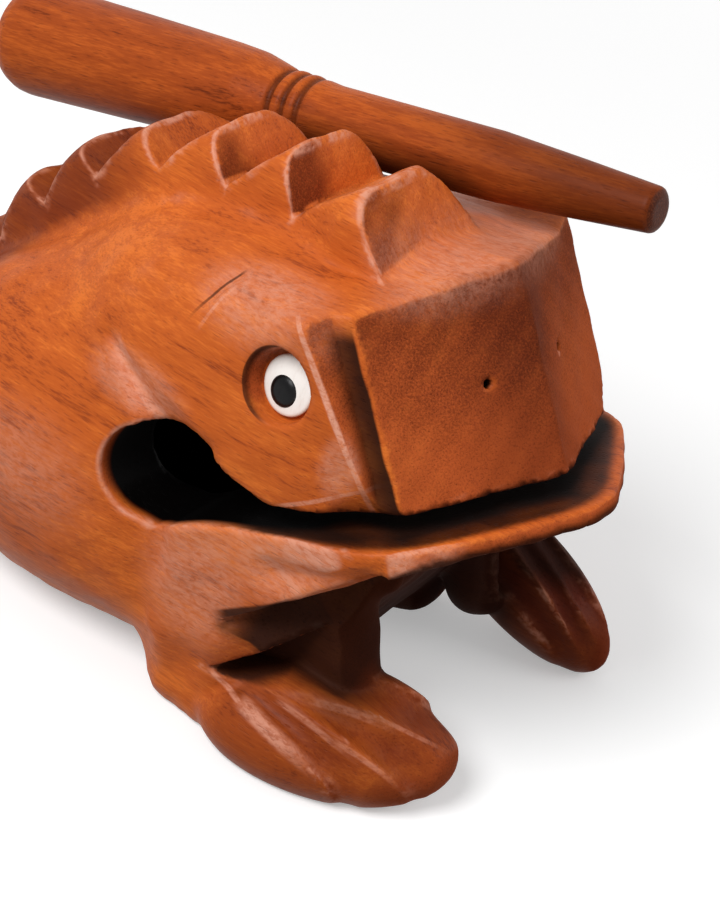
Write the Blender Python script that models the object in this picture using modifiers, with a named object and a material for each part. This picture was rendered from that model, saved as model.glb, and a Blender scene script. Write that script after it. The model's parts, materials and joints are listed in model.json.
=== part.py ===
# Frog guiro: a hollow frog carved from one block of hardwood, with inlaid eyes and a turned stick.
# Metres, +Z up. The frog faces -Y and sits on the plane z = 0, with the origin under its belly.
# Its right side, at -X, is the side that has the larger foot.

import math

import bmesh
import bpy
from mathutils import Matrix, Vector

# Clearance between pieces that touch
CLEARANCE = 0.0003

# Crest: a ring of teeth about a level axis, which is also the axis of the stick's stroke
CREST_Y = -0.0307
CREST_Z = 0.0189
BACK_RADIUS = 0.095
CREST_RISE = 0.016
TIP_RADIUS = BACK_RADIUS + CREST_RISE
NOTCH_DEPTH = 0.0133
CREST_HALF_WIDTH = 0.0175
TOOTH_COUNT = 8
FIRST_TOOTH_DEG = -4.0
TOOTH_PITCH_DEG = 11.2
TOOTH_FACE_DEG = 3.1
CREST_ROOT_DEPTH = 0.027
FIRST_FACE_NORMAL = (0.0, -0.72, 0.69)

# Torso: a lens of BACK_RADIUS about the crest's axis, rounded below by a keel and sawn off at the chest
TORSO_HALF_WIDTH = 0.056
TORSO_FULLNESS = 2.6
KEEL_CENTRE = (0.0, -0.005, 0.055)
KEEL_RADII = (0.060, 0.140, 0.061)
CHEST_POINT = (0.0, -0.043, 0.0)
CHEST_NORMAL = (0.0, -0.89, -0.455)
TORSO_FRONT = 0.040
THROAT_HALF_WIDTH = 0.051
THROAT_NORMAL = (-0.983, -0.183, 0.0)

# Haunches
HAUNCH_CENTRE = (-0.023, 0.018, 0.040)
HAUNCH_RADII = (0.033, 0.051, 0.040)

# Head: a block sawn by two snout facets, two roof planes, two cheeks and two brows
SNOUT_TOP = (0.0, -0.0696, 0.1223)
FACET_NORMAL = (-0.409, -0.773, 0.484)
ROOF_NORMAL = (-0.1315, 0.213, 0.968)
CHEEK_POINT = (-0.0443, -0.0606, 0.0992)
CHEEK_NORMAL = (-1.0, 0.030, -0.060)
BROW_POINT = (-0.0460, -0.0510, 0.1135)
BROW_NORMAL = (-0.75, 0.38, 0.54)
JAW_PITCH_DEG = 20.0

# Cheek groove beside the snout facet
GROOVE_TOP = (-0.0387, -0.0537, 0.1151)
GROOVE_BOTTOM = (-0.0387, -0.0768, 0.0781)
GROOVE_RADIUS = 0.0032

# Throat bore and mouth slot, in a frame with its origin on the bore and pitched up by JAW_PITCH_DEG
BORE_Y = -0.023
BORE_Z = 0.0588
BORE_RADIUS = 0.0125
SLOT_DROP = 0.0040
SLOT_HEIGHT = 0.0060
FUNNEL_LENGTH = 0.034
FUNNEL_HALF_HEIGHT = 0.0095
SLOT_REACH = 0.100

# Lower jaw
LIP_REACH = 0.0815
LIP_HALF_WIDTH = 0.0468
LIP_THICKNESS = 0.0062
LIP_FACET_NORMAL = (-0.4123, -0.911, 0.0)
LIP_UNDERCUT_NORMAL = (-0.45, -0.55, -0.70)
JAW_UNDER_NORMAL = (0.0, -0.34, -1.0)
JAW_BACK = 0.020

# Arms and feet
ARM_CENTRE = (-0.036, -0.040, 0.030)
ARM_HALF_SIZE = (0.0115, 0.017, 0.034)
ARM_ROUNDING = 0.009
ARM_PITCH_DEG = -8.0
FOREARM_ELBOW = (-0.039, -0.042, 0.026)
FOREARM_WRIST = (-0.038, -0.066, 0.0382)
ELBOW_RADIUS = 0.0075
WRIST_RADIUS = 0.0030
RIGHT_FOOT_CENTRE = (-0.033, -0.070, 0.009)
RIGHT_FOOT_RADII = (0.017, 0.031, 0.014)
RIGHT_FOOT_YAW_DEG = 22.0
RIGHT_FOOT_PITCH_DEG = -4.0
LEFT_FOOT_CENTRE = (0.045, -0.071, 0.017)
LEFT_FOOT_RADII = (0.0105, 0.030, 0.014)
LEFT_FOOT_YAW_DEG = 4.0
LEFT_FOOT_PITCH_DEG = 25.0
TOE_GROOVE_RADIUS = 0.0022
TOE_SPREAD_DEG = 16.0
TOE_GROOVE_DEPTH = 0.0010
TOE_FALL = 0.55

# Arm notches: wedges that open forwards, each given by its sharp end and its two open corners (y, z)
NOTCH_OUTLINES = (
    ((-0.045, 0.0337), (-0.083, 0.0640), (-0.072, 0.0414)),
    ((-0.045, 0.0188), (-0.072, 0.0410), (-0.068, 0.0238)),
)
NOTCH_INNER_X = 0.034

# Sound chamber
CHAMBER_CENTRE = (0.0, 0.001, 0.052)
CHAMBER_RADII = (0.036, 0.046, 0.036)

# Eyes, nostrils
EYE_POINT = (-0.0432, -0.0470, 0.0944)
EYE_NORMAL = (-0.975, 0.068, 0.210)
EYE_RADIUS = 0.0074
SOCKET_GAP = 0.0012
SOCKET_RADIUS = EYE_RADIUS + SOCKET_GAP
SOCKET_DEPTH = 0.0045
SOCKET_CUT_LENGTH = 0.018
EYE_EDGE = 0.0022
EYE_CROWN = 0.0032
PUPIL_RADIUS = 0.0041
PUPIL_THICKNESS = 0.0016
PUPIL_FLAT = 0.0025
PUPIL_INSET = 0.0008
NOSTRIL_POINT = (-0.013, -0.0772, 0.1005)
NOSTRIL_RADIUS = 0.0013
NOSTRIL_DEPTH = 0.006

# Stick: turned, with a thick head, two grooves and a tapering handle
STICK_LENGTH = 0.190
STICK_HEAD_LENGTH = 0.082
STICK_HEAD_RADIUS = 0.0140
STICK_END_RADIUS = 0.0085
STICK_END_BEVEL = 0.0055
STICK_WAIST_RADIUS = 0.0118
STICK_SHOULDER = 0.0060
STICK_BEAD_RADIUS = 0.0092
STICK_GROOVE_RADIUS = 0.0080
STICK_RING_PITCH = 0.0044
STICK_HANDLE_RADIUS = 0.0083
STICK_TIP_RADIUS = 0.0052
STICK_TIP_TAPER = 0.042
STICK_TIP_BEVEL = 0.0015
STICK_DROP = 0.0089
STICK_RISE = TIP_RADIUS - STICK_DROP
STICK_LEAN_DEG = 11.7
STICK_HEAD_BEHIND = 0.0310

# Number of flats round each shape
TORSO_SEGMENTS = 48
KEEL_SEGMENTS = 40
MASS_SEGMENTS = 28
FOOT_SEGMENTS = 24
CREST_SEGMENTS = 96
CREST_TUBE_SEGMENTS = 24
FOREARM_SEGMENTS = 20
BORE_SEGMENTS = 32
EYE_SEGMENTS = 32
PUPIL_SEGMENTS = 24
NOSTRIL_SEGMENTS = 12
TOE_GROOVE_SEGMENTS = 8
CHEEK_GROOVE_SEGMENTS = 4
STICK_SEGMENTS = 32

# Colours, as linear values, with a roughness
WOOD = ((0.330, 0.090, 0.024), 0.42)
STICK_WOOD = ((0.300, 0.085, 0.024), 0.45)
EYE_WHITE = ((0.880, 0.840, 0.800), 0.35)
EYE_BLACK = ((0.010, 0.012, 0.018), 0.25)

# Size of an uncut block, and how far a cut runs past what it cuts
BLOCK = 0.40
OVERSHOOT = 1.5


def new_collection(name):
    collection = bpy.data.collections.new(name)
    bpy.context.scene.collection.children.link(collection)
    return collection


def new_object(name, mesh, collection):
    obj = bpy.data.objects.new(name, mesh)
    collection.objects.link(obj)
    return obj


def object_from_bmesh(name, bm, collection):
    mesh = bpy.data.meshes.new(name)
    bm.to_mesh(mesh)
    bm.free()
    return new_object(name, mesh, collection)


def cutter(obj):
    obj.hide_render = True
    obj.display_type = 'WIRE'
    return obj


def mirrored(point):
    return (-point[0], point[1], point[2])


def sides(*vectors):
    """The vectors as given for the right side, then mirrored for the left side."""
    return (vectors, tuple(mirrored(vector) for vector in vectors))


def ellipsoid_bmesh(centre, radii, rotation=Matrix(), segments=MASS_SEGMENTS):
    bm = bmesh.new()
    place = Matrix.Translation(centre) @ rotation.to_4x4() @ Matrix.Diagonal((*radii, 1.0))
    bmesh.ops.create_uvsphere(bm, u_segments=segments, v_segments=segments // 2, radius=1.0, matrix=place)
    return bm


def lens_bmesh(centre, half_width, radius, fullness, segments):
    """A lens round the X axis, with flatter sides and a rounder rim than an ellipsoid has."""
    bm = ellipsoid_bmesh((0.0, 0.0, 0.0), (1.0, 1.0, 1.0), segments=segments)
    for vert in bm.verts:
        off_axis = math.hypot(vert.co.y, vert.co.z)
        vert.co /= (abs(vert.co.x) ** fullness + off_axis ** fullness) ** (1.0 / fullness)
    place = Matrix.Translation(centre) @ Matrix.Diagonal((half_width, radius, radius, 1.0))
    bmesh.ops.transform(bm, verts=bm.verts, matrix=place)
    return bm


def ellipsoid(name, centre, radii, rotation=Matrix(), segments=MASS_SEGMENTS):
    return cutter(object_from_bmesh(name, ellipsoid_bmesh(centre, radii, rotation, segments), TOOLS))


def saw(bm, point, normal):
    """Cut away what lies beyond the plane, on the side its normal points to, and close the cut."""
    everything = bm.verts[:] + bm.edges[:] + bm.faces[:]
    cut = bmesh.ops.bisect_plane(bm, geom=everything, plane_co=point, plane_no=normal, clear_outer=True)
    rim = [item for item in cut['geom_cut'] if isinstance(item, bmesh.types.BMEdge)]
    if rim:
        bmesh.ops.edgeloop_fill(bm, edges=rim)


def sawn_block(name, planes):
    bm = bmesh.new()
    bmesh.ops.create_cube(bm, size=BLOCK)
    for point, normal in planes:
        saw(bm, Vector(point), Vector(normal))
    return cutter(object_from_bmesh(name, bm, TOOLS))


def rod(name, start, end, radius, segments, end_radius=None):
    """A straight round bar between two points, tapered when it has another radius at its end."""
    axis = Vector(end) - Vector(start)
    turn = axis.to_track_quat('Z', 'Y').to_matrix().to_4x4()
    bm = bmesh.new()
    place = Matrix.Translation((Vector(start) + Vector(end)) / 2) @ turn
    bmesh.ops.create_cone(bm, cap_ends=True, segments=segments, radius1=radius, radius2=end_radius or radius,
                          depth=axis.length, matrix=place)
    return cutter(object_from_bmesh(name, bm, TOOLS))


def rounded_block(name, centre, half_size, rounding, pitch_degrees):
    turn = Matrix.Rotation(math.radians(pitch_degrees), 4, 'X')
    bm = bmesh.new()
    bmesh.ops.create_cube(bm, size=2.0, matrix=Matrix.Diagonal((*half_size, 1.0)))
    bmesh.ops.bevel(bm, geom=bm.edges[:], offset=rounding, offset_type='OFFSET', segments=3, profile=0.5,
                    affect='EDGES')
    bmesh.ops.transform(bm, verts=bm.verts, matrix=Matrix.Translation(centre) @ turn)
    return cutter(object_from_bmesh(name, bm, TOOLS))


def extruded_outline(name, outline, half_width, centre_x=0.0):
    """A flat outline of (y, z) points, thickened along X."""
    curve = bpy.data.curves.new(name, 'CURVE')
    curve.dimensions = '2D'
    curve.fill_mode = 'BOTH'
    curve.extrude = half_width
    spline = curve.splines.new('POLY')
    spline.points.add(len(outline) - 1)
    for point, (y, z) in zip(spline.points, outline):
        point.co = (y, z, 0.0, 1.0)
    spline.use_cyclic_u = True
    flat = new_object(name + "_outline", curve, TOOLS)
    # Local X, Y, Z of the flat outline become world Y, Z, X.
    flat.matrix_world = Matrix(((0, 0, 1, centre_x), (1, 0, 0, 0), (0, 1, 0, 0), (0, 0, 0, 1)))
    bpy.context.view_layer.update()
    graph = bpy.context.evaluated_depsgraph_get()
    mesh = bpy.data.meshes.new_from_object(flat.evaluated_get(graph))
    bm = bmesh.new()
    bm.from_mesh(mesh)
    bmesh.ops.remove_doubles(bm, verts=bm.verts, dist=0.00001)
    bmesh.ops.transform(bm, matrix=flat.matrix_world, verts=bm.verts)
    bpy.data.objects.remove(flat)
    bpy.data.meshes.remove(mesh)
    return cutter(object_from_bmesh(name, bm, TOOLS))


def turned(name, profile, segments, collection):
    """A profile of (radius, height) points turned about local Z."""
    bm = bmesh.new()
    verts = [bm.verts.new((radius, 0.0, height)) for radius, height in profile]
    for first, second in zip(verts, verts[1:]):
        bm.edges.new((first, second))
    obj = object_from_bmesh(name, bm, collection)
    screw = obj.modifiers.new("Turn", 'SCREW')
    screw.axis = 'Z'
    screw.steps = segments
    screw.render_steps = segments
    screw.use_merge_vertices = True
    screw.merge_threshold = 0.00001
    screw.use_normal_calculate = True
    return obj


def combine(target, tool, operation):
    boolean = target.modifiers.new(operation.title() + " " + tool.name, 'BOOLEAN')
    boolean.operation = operation
    boolean.solver = 'EXACT'
    boolean.object = tool


def paint(obj, name, finish):
    colour, roughness = finish
    material = bpy.data.materials.get(name)
    if material is None:
        material = bpy.data.materials.new(name)
        material.use_nodes = True
        shader = material.node_tree.nodes["Principled BSDF"]
        shader.inputs["Base Color"].default_value = (*colour, 1.0)
        shader.inputs["Roughness"].default_value = roughness
        shader.inputs["Metallic"].default_value = 0.0
    obj.data.materials.append(material)


def crest_point(degrees, radius):
    """A (y, z) point at an angle from the vertical, towards the tail, about the crest's axis."""
    angle = math.radians(degrees)
    return (CREST_Y + radius * math.sin(angle), CREST_Z + radius * math.cos(angle))


def jaw_point(forward, up):
    """A (y, z) point in the mouth's frame, which starts at the throat bore."""
    pitch = math.radians(JAW_PITCH_DEG)
    y = BORE_Y - forward * math.cos(pitch) + up * math.sin(pitch)
    z = BORE_Z + forward * math.sin(pitch) + up * math.cos(pitch)
    return (y, z)


def jaw_direction(normal):
    """A direction given with the mouth level, turned up with the mouth."""
    return Matrix.Rotation(math.radians(-JAW_PITCH_DEG), 3, 'X') @ Vector(normal)


def make_crest():
    outline = []
    for tooth in range(TOOTH_COUNT):
        tip = FIRST_TOOTH_DEG + tooth * TOOTH_PITCH_DEG
        outline.append(crest_point(tip - TOOTH_FACE_DEG, TIP_RADIUS - NOTCH_DEPTH))
        outline.append(crest_point(tip, TIP_RADIUS))
    last = FIRST_TOOTH_DEG + TOOTH_COUNT * TOOTH_PITCH_DEG - TOOTH_FACE_DEG
    root = TIP_RADIUS - CREST_ROOT_DEPTH
    outline.append(crest_point(last, TIP_RADIUS - NOTCH_DEPTH))
    for tooth in range(TOOTH_COUNT, -1, -1):
        outline.append(crest_point(FIRST_TOOTH_DEG + tooth * TOOTH_PITCH_DEG - TOOTH_FACE_DEG, root))
    # The first tooth's face runs down to the head instead of to a notch.
    tip = Vector((0.0, *outline[1]))
    down = Vector((1.0, 0.0, 0.0)).cross(Vector(FIRST_FACE_NORMAL)).normalized()
    foot = tip + down * (CREST_ROOT_DEPTH / abs(down.z))
    outline[0] = (foot.y, foot.z)
    teeth = extruded_outline("crest", outline, CREST_HALF_WIDTH * OVERSHOOT)
    bpy.ops.mesh.primitive_torus_add(
        major_radius=TIP_RADIUS - CREST_HALF_WIDTH, minor_radius=CREST_HALF_WIDTH,
        major_segments=CREST_SEGMENTS, minor_segments=CREST_TUBE_SEGMENTS,
        location=(0.0, CREST_Y, CREST_Z), rotation=(0.0, math.radians(90.0), 0.0))
    ring = cutter(bpy.context.object)
    ring.name = "crest_ring"
    move_to_tools(ring)
    combine(teeth, ring, 'INTERSECT')
    return teeth


def move_to_tools(obj):
    for collection in obj.users_collection:
        collection.objects.unlink(obj)
    TOOLS.objects.link(obj)


def make_torso():
    axis_point = (0.0, CREST_Y, CREST_Z)
    bm = lens_bmesh(axis_point, TORSO_HALF_WIDTH, BACK_RADIUS, TORSO_FULLNESS, TORSO_SEGMENTS)
    saw(bm, Vector(CHEST_POINT), Vector(CHEST_NORMAL))
    saw(bm, Vector((0.0, *jaw_point(TORSO_FRONT, 0.0))), jaw_direction((0.0, -1.0, 0.0)))
    for point, normal in sides((-THROAT_HALF_WIDTH, BORE_Y, BORE_Z), THROAT_NORMAL):
        saw(bm, Vector(point), jaw_direction(normal))
    torso = object_from_bmesh("frog_body", bm, PARTS)
    combine(torso, ellipsoid("keel", KEEL_CENTRE, KEEL_RADII, segments=KEEL_SEGMENTS), 'INTERSECT')
    return torso


def make_head():
    planes = [((0.0, BORE_Y, BORE_Z), jaw_direction((0.0, 1.0, 0.0)))]
    planes.append(((0.0, *jaw_point(0.0, -SLOT_DROP - SLOT_HEIGHT)), jaw_direction((0.0, 0.0, -1.0))))
    for facet, roof in sides(FACET_NORMAL, ROOF_NORMAL):
        planes.append((SNOUT_TOP, facet))
        planes.append((SNOUT_TOP, roof))
    for cheek_point, cheek, brow_point, brow in sides(CHEEK_POINT, CHEEK_NORMAL, BROW_POINT, BROW_NORMAL):
        planes.append((cheek_point, cheek))
        planes.append((brow_point, brow))
    return sawn_block("head", planes)


def make_jaw():
    lip_front = (0.0, *jaw_point(LIP_REACH, -SLOT_DROP))
    planes = [(lip_front, jaw_direction((0.0, 0.0, 1.0)))]
    lip_bottom = (0.0, *jaw_point(LIP_REACH, -SLOT_DROP - SLOT_HEIGHT / 2 - LIP_THICKNESS))
    planes.append((lip_bottom, jaw_direction(JAW_UNDER_NORMAL)))
    planes.append(((0.0, *jaw_point(-JAW_BACK, 0.0)), jaw_direction((0.0, 1.0, 0.0))))
    corner = Vector(LIP_FACET_NORMAL)
    reach_at_side = LIP_REACH + corner.x / corner.y * -LIP_HALF_WIDTH
    undercut = (-LIP_HALF_WIDTH, *jaw_point(reach_at_side, -SLOT_DROP - SLOT_HEIGHT))
    for facet, below, edge in sides(LIP_FACET_NORMAL, LIP_UNDERCUT_NORMAL, undercut):
        planes.append((lip_front, jaw_direction(facet)))
        planes.append((edge, jaw_direction(below)))
    for point, normal in sides((-LIP_HALF_WIDTH, 0.0, 0.0), (-1.0, 0.0, 0.0)):
        planes.append((point, normal))
    return sawn_block("lower_jaw", planes)


def make_limbs():
    limbs = []
    for haunch, arm, elbow, wrist in sides(HAUNCH_CENTRE, ARM_CENTRE, FOREARM_ELBOW, FOREARM_WRIST):
        limbs.append(ellipsoid("haunch", haunch, HAUNCH_RADII))
        limbs.append(rounded_block("upper_arm", arm, ARM_HALF_SIZE, ARM_ROUNDING, ARM_PITCH_DEG))
        limbs.append(rod("forearm", elbow, wrist, ELBOW_RADIUS, FOREARM_SEGMENTS, WRIST_RADIUS))
    return limbs


def make_foot(centre, radii, yaw_degrees, pitch_degrees):
    """A leaf-shaped foot with grooves that part its toes."""
    yaw = Matrix.Rotation(math.radians(yaw_degrees), 3, 'Z')
    turn = yaw @ Matrix.Rotation(math.radians(pitch_degrees), 3, 'X')
    foot = ellipsoid("foot", centre, radii, turn, FOOT_SEGMENTS)
    lift = Vector((0.0, 0.0, TOE_GROOVE_RADIUS - TOE_GROOVE_DEPTH))
    heel = Vector((0.0, radii[1], radii[2])) + lift
    for spread in (-TOE_SPREAD_DEG / 2, TOE_SPREAD_DEG / 2):
        along = Vector((0.0, -2.0 * radii[1], -2.0 * radii[2] * TOE_FALL))
        toe = heel + Matrix.Rotation(math.radians(spread), 3, 'Z') @ along
        start = Vector(centre) + turn @ heel
        end = Vector(centre) + turn @ toe
        groove = rod("toe_groove", start, end, TOE_GROOVE_RADIUS, TOE_GROOVE_SEGMENTS)
        combine(foot, groove, 'DIFFERENCE')
    return foot


def make_feet():
    right = make_foot(RIGHT_FOOT_CENTRE, RIGHT_FOOT_RADII, RIGHT_FOOT_YAW_DEG, RIGHT_FOOT_PITCH_DEG)
    left = make_foot(LEFT_FOOT_CENTRE, LEFT_FOOT_RADII, LEFT_FOOT_YAW_DEG, LEFT_FOOT_PITCH_DEG)
    return [right, left]


def make_mouth():
    """The throat bore from side to side, and the slot that opens forwards from it."""
    slot_top = -SLOT_DROP + SLOT_HEIGHT / 2
    slot_bottom = -SLOT_DROP - SLOT_HEIGHT / 2
    corners = (
        (0.0, FUNNEL_HALF_HEIGHT), (FUNNEL_LENGTH, slot_top), (SLOT_REACH, slot_top),
        (SLOT_REACH, slot_bottom), (FUNNEL_LENGTH, slot_bottom), (0.0, -FUNNEL_HALF_HEIGHT),
    )
    outline = [jaw_point(*corner) for corner in corners]
    slot = extruded_outline("mouth_slot", outline, LIP_HALF_WIDTH * OVERSHOOT)
    reach = TORSO_HALF_WIDTH * OVERSHOOT
    ends = ((-reach, BORE_Y, BORE_Z), (reach, BORE_Y, BORE_Z))
    bore = rod("throat_bore", *ends, BORE_RADIUS, BORE_SEGMENTS)
    chamber = ellipsoid("sound_chamber", CHAMBER_CENTRE, CHAMBER_RADII)
    return [slot, bore, chamber]


def make_face_cuts():
    cuts = []
    outwards = Vector(EYE_NORMAL).normalized()
    floor_point = Vector(EYE_POINT) - outwards * SOCKET_DEPTH
    rim_point = floor_point + outwards * SOCKET_CUT_LENGTH
    snout = Vector(FACET_NORMAL).normalized() * NOSTRIL_DEPTH
    for floor, rim in sides(floor_point, rim_point):
        cuts.append(rod("eye_socket", floor, rim, SOCKET_RADIUS, EYE_SEGMENTS))
    for nostril, out in sides(NOSTRIL_POINT, snout):
        start = Vector(nostril) - Vector(out)
        end = Vector(nostril) + Vector(out)
        cuts.append(rod("nostril", start, end, NOSTRIL_RADIUS, NOSTRIL_SEGMENTS))
    for top, bottom in sides(GROOVE_TOP, GROOVE_BOTTOM):
        cuts.append(rod("cheek_groove", top, bottom, GROOVE_RADIUS, CHEEK_GROOVE_SEGMENTS))
    return cuts


def make_arm_notches():
    cuts = []
    half = (BLOCK / 4 - NOTCH_INNER_X) / 2
    for outline in NOTCH_OUTLINES:
        for side in (-1.0, 1.0):
            cuts.append(extruded_outline("arm_notch", outline, half, side * (NOTCH_INNER_X + half)))
    return cuts


def make_body():
    body = make_torso()
    for mass in (make_head(), make_jaw(), *make_limbs(), make_crest()):
        combine(body, mass, 'UNION')
    for notch in make_arm_notches():
        combine(body, notch, 'DIFFERENCE')
    for foot in make_feet():
        combine(body, foot, 'UNION')
    below = sawn_block("floor", [((0.0, 0.0, 0.0), (0.0, 0.0, 1.0))])
    for cut in (below, *make_mouth(), *make_face_cuts()):
        combine(body, cut, 'DIFFERENCE')
    paint(body, "varnished_wood", WOOD)


def make_eye(side_name, point, normal):
    """A low white dome on the socket's floor, with a black disc let into it."""
    outwards = Vector(normal).normalized()
    turn = outwards.to_track_quat('Z', 'Y')
    floor = Vector(point) - outwards * SOCKET_DEPTH
    recess = EYE_CROWN - PUPIL_INSET
    bed = PUPIL_RADIUS + CLEARANCE
    white = turned(side_name + "_eye_white", (
        (0.0, 0.0), (EYE_RADIUS, 0.0), (EYE_RADIUS, EYE_EDGE), (bed, EYE_CROWN), (bed, recess), (0.0, recess),
    ), EYE_SEGMENTS, PARTS)
    white.location = floor + outwards * CLEARANCE
    paint(white, "eye_white", EYE_WHITE)
    pupil = turned(side_name + "_pupil", (
        (0.0, 0.0), (PUPIL_RADIUS, 0.0), (PUPIL_RADIUS, PUPIL_INSET), (PUPIL_FLAT, PUPIL_THICKNESS),
        (0.0, PUPIL_THICKNESS),
    ), PUPIL_SEGMENTS, PARTS)
    pupil.location = white.location + outwards * (recess + CLEARANCE)
    paint(pupil, "eye_black", EYE_BLACK)
    for piece in (white, pupil):
        piece.rotation_mode = 'QUATERNION'
        piece.rotation_quaternion = turn


def make_stick():
    ring = STICK_HEAD_LENGTH
    quarter = STICK_RING_PITCH / 4
    profile = [(0.0, 0.0), (STICK_END_RADIUS, 0.0), (STICK_HEAD_RADIUS, STICK_END_BEVEL)]
    profile.append((STICK_WAIST_RADIUS, ring - STICK_SHOULDER))
    profile.append((STICK_BEAD_RADIUS, ring))
    for groove in range(2):
        start = ring + groove * STICK_RING_PITCH
        profile.append((STICK_GROOVE_RADIUS, start + quarter))
        profile.append((STICK_GROOVE_RADIUS, start + quarter * 2))
        profile.append((STICK_BEAD_RADIUS, start + quarter * 3))
        profile.append((STICK_BEAD_RADIUS, start + quarter * 4))
    profile.append((STICK_HANDLE_RADIUS, ring + STICK_RING_PITCH * 3))
    profile.append((STICK_HANDLE_RADIUS, STICK_LENGTH - STICK_TIP_TAPER))
    profile.append((STICK_TIP_RADIUS, STICK_LENGTH - STICK_TIP_BEVEL))
    profile.append((STICK_TIP_RADIUS - STICK_TIP_BEVEL, STICK_LENGTH))
    profile.append((0.0, STICK_LENGTH))
    stick = turned("scraper_stick", profile, STICK_SEGMENTS, PARTS)
    pivot = bpy.data.objects.new("scrape_pivot", None)
    PARTS.objects.link(pivot)
    pivot.location = (0.0, CREST_Y, CREST_Z)
    pivot.rotation_euler = (math.radians(-STICK_LEAN_DEG), 0.0, 0.0)
    # The stick's waist, head or handle, whichever meets it first, rests against the flank of the crest's ring.
    ring_centre = TIP_RADIUS - CREST_HALF_WIDTH
    stations = (
        (STICK_WAIST_RADIUS, STICK_HEAD_BEHIND + STICK_SHOULDER),
        (STICK_HEAD_RADIUS, STICK_HEAD_BEHIND + STICK_HEAD_LENGTH - STICK_END_BEVEL),
        (STICK_HANDLE_RADIUS, 0.0),
    )
    beside = 0.0
    for radius, behind in stations:
        reach = math.hypot(STICK_RISE, behind) - ring_centre
        touch = CREST_HALF_WIDTH + radius + CLEARANCE
        beside = max(beside, math.sqrt(max(touch ** 2 - reach ** 2, 0.0)))
    stick.parent = pivot
    stick.location = (beside, STICK_HEAD_BEHIND + STICK_HEAD_LENGTH, STICK_RISE)
    stick.rotation_euler = (math.radians(90.0), 0.0, 0.0)
    paint(stick, "stick_wood", STICK_WOOD)


for old in list(bpy.data.objects):
    bpy.data.objects.remove(old)

PARTS = new_collection("frog_guiro")
TOOLS = new_collection("frog_guiro_tools")

make_body()
for label, (eye_point, eye_normal) in zip(("right", "left"), sides(EYE_POINT, EYE_NORMAL)):
    make_eye(label, eye_point, eye_normal)
make_stick()
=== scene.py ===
# Frog guiro: a hollow frog carved from one block, with inlaid eyes, and the turned stick that is drawn along its teeth.
# Shapes are worked out in millimetres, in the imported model's own frame, and written to the meshes in metres.
import json
import math
from functools import reduce

import bpy
import numpy as np
from mathutils import Matrix, Vector

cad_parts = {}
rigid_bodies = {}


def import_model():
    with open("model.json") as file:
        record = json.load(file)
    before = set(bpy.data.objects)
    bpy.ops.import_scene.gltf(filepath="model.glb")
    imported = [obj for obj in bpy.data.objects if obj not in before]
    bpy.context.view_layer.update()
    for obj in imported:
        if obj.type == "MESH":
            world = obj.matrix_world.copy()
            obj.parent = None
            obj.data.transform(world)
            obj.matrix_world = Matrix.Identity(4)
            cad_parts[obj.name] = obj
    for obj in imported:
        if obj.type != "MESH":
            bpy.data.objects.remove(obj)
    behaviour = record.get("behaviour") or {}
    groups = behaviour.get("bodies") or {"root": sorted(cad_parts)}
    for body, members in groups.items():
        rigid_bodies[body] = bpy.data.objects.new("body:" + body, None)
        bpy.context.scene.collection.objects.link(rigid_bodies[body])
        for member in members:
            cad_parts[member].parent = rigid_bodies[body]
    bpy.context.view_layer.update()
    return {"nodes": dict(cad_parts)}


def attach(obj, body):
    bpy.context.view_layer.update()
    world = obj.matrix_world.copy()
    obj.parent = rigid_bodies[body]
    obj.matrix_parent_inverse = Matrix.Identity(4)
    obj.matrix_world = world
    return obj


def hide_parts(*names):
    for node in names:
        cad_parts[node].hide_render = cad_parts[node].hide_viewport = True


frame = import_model()
print("frame loaded:", ", ".join(sorted(frame["nodes"])))

mm = 0.001


def unit(vector):  # the same direction, one long
    return np.asarray(vector, float) / np.linalg.norm(vector)


def cosSin(degrees):
    return math.cos(math.radians(degrees)), math.sin(math.radians(degrees))


def ramp(value, low, high):  # 0 at low and 1 at high, straight between the two and level beyond them
    return np.clip((value - low) / (high - low), 0, 1)


# Fields are distances in millimetres: p holds three arrays x, y, z, and a negative distance is inside the wood.

def folded(p):  # the point brought over to the near side, where x is negative
    return -np.abs(p[0]), p[1], p[2]


def smoothMin(a, b, k):  # the smaller distance, with a fillet about k wide where the two meet
    h = np.clip(0.5 + 0.5 * (b - a) / k, 0, 1)
    return b + (a - b) * h - k * h * (1 - h)


def smoothMax(a, b, k):  # the larger distance, with an edge rounded over about k
    return -smoothMin(-a, -b, k)


def planeField(p, normal, point):  # how far p lies beyond the plane: (p - point) . normal
    n = unit(normal)
    return sum((p[i] - point[i]) * n[i] for i in range(3))


def localPoint(p, centre, yaw=0, pitch=0):  # p seen from a centre that is turned about Z, then about its own X
    x, y, z = [p[i] - centre[i] for i in range(3)]
    c, s = cosSin(yaw)
    x, y = x * c + y * s, y * c - x * s
    c, s = cosSin(pitch)
    return x, y * c + z * s, z * c - y * s


def eggField(p, centre, radii, yaw=0, pitch=0):  # |q/r| (|q/r| - 1) / |q/r^2|, near the distance to an ellipsoid
    x, y, z = localPoint(p, centre, yaw, pitch)
    a, b, c = x / radii[0], y / radii[1], z / radii[2]
    k0 = np.sqrt(a * a + b * b + c * c)
    a, b, c = a / radii[0], b / radii[1], c / radii[2]
    return k0 * (k0 - 1) / (np.sqrt(a * a + b * b + c * c) + 1e-6)


def lensField(p, centre, halfWidth, radius, fullness):  # |x/w|^n + |r/R|^n = 1, divided by its slope
    a = np.abs(p[0] - centre[0]) / halfWidth
    b = np.hypot(p[1] - centre[1], p[2] - centre[2]) / radius
    k = (a ** fullness + b ** fullness) ** (1 / fullness) + 1e-6
    slope = np.hypot(a ** (fullness - 1) / halfWidth, b ** (fullness - 1) / radius) * k ** (1 - fullness) + 1e-6
    return (k - 1) / slope * np.clip(k, 0.3, 1)


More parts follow.
